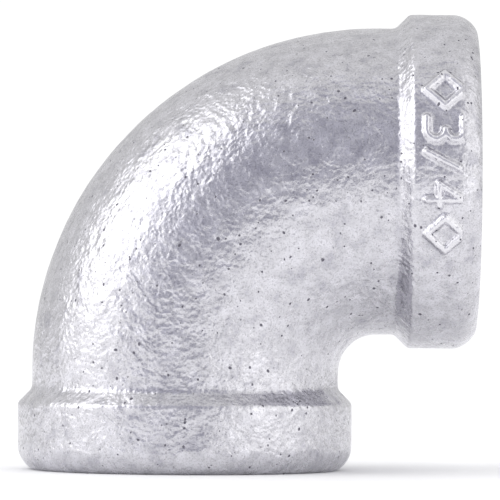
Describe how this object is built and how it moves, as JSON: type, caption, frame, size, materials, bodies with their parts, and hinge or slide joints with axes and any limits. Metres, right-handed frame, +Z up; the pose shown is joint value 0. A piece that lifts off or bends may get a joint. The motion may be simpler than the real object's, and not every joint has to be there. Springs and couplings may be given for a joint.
{
  "type": "pipe elbow",
  "caption": "Galvanised malleable iron pipe elbow, 90 degrees, with a banded end and an internal thread at each mouth.",
  "frame": {"origin": "centre of the lower end face, on the lower thread's axis", "axes": "+Z up along the lower thread's axis, into the fitting; +X along the side thread's axis, out of its mouth; the raised mark faces -Y"},
  "size_m": [0.0526, 0.0391, 0.0526],
  "materials": {
    "iron": "malleable iron, machined bare at the threads and end faces",
    "zinc_outside": "hot-dip zinc over a sand-cast surface, dull silver with a fine spangle",
    "zinc_inside": "hot-dip zinc over a rough cored surface"
  },
  "bodies": {
    "root": {"iron_casting": "iron", "outer_zinc_coat": "zinc_outside", "waterway_zinc_coat": "zinc_inside"}
  },
  "joints": []
}
